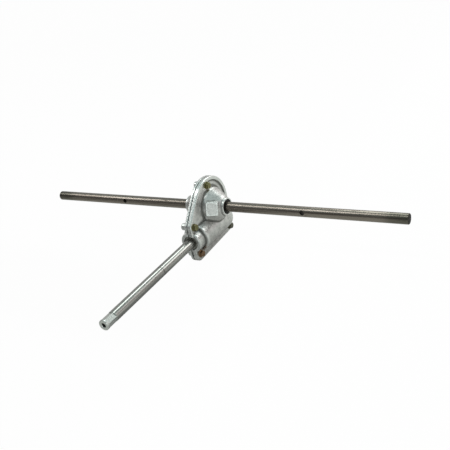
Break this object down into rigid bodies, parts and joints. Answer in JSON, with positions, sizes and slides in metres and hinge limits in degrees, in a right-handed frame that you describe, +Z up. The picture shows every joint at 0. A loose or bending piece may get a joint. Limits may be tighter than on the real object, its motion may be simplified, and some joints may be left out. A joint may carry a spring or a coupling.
{
  "type": "worm gearbox",
  "caption": "Right-angle worm gearbox: a split cast casing with cone hubs on a long cross shaft, and an input shaft with a milled hexagon near its tapped tip.",
  "frame": {"origin": "centre of the worm wheel: where the cross shaft's axis crosses the casing's joint plane", "axes": "+X along the cross shaft, -Y towards the free end of the input shaft, +Z up, with the input shaft below the cross shaft"},
  "size_m": [0.7746, 0.4016, 0.1374],
  "materials": {
    "casting": "as cast",
    "gasket": "matt",
    "yellow_zinc": "yellow zinc plated",
    "seal_rubber": "satin",
    "spring_steel": "dark",
    "bronze": "machined",
    "hard_steel": "ground",
    "dark_shaft": "cold drawn",
    "bright_shaft": "ground"
  },
  "bodies": {
    "casing": {"right_case": "casting", "left_case": "casting", "case_gasket": "gasket", "case_screws": "yellow_zinc", "right_seal": "seal_rubber", "left_seal": "seal_rubber", "input_seal": "seal_rubber", "garter_springs": "spring_steel", "right_bushing": "bronze", "left_bushing": "bronze", "front_bushing": "bronze", "rear_bushing": "bronze", "case_thrust_washers": "hard_steel", "thrust_cages": "hard_steel", "thrust_rollers": "hard_steel"},
    "auger": {"auger_shaft": "dark_shaft", "worm_gear": "bronze", "gear_key": "hard_steel", "gear_snap_rings": "spring_steel", "auger_thrust_washers": "hard_steel"},
    "input": {"input_shaft": "bright_shaft", "worm": "hard_steel", "worm_pin": "hard_steel", "worm_thrust_washers": "hard_steel"}
  },
  "joints": [
    {"name": "auger_spin", "type": "hinge", "parent": "casing", "child": "auger", "pos_m": [0, 0, 0], "axis": [1, 0, 0], "continuous": true},
    {"name": "input_spin", "type": "hinge", "parent": "casing", "child": "input", "pos_m": [0, 0, -0.0381], "axis": [0, -1, 0], "continuous": true}
  ],
  "couplings": [
    {"joint": "input_spin", "follows": "auger_spin", "ratio": 20}
  ]
}
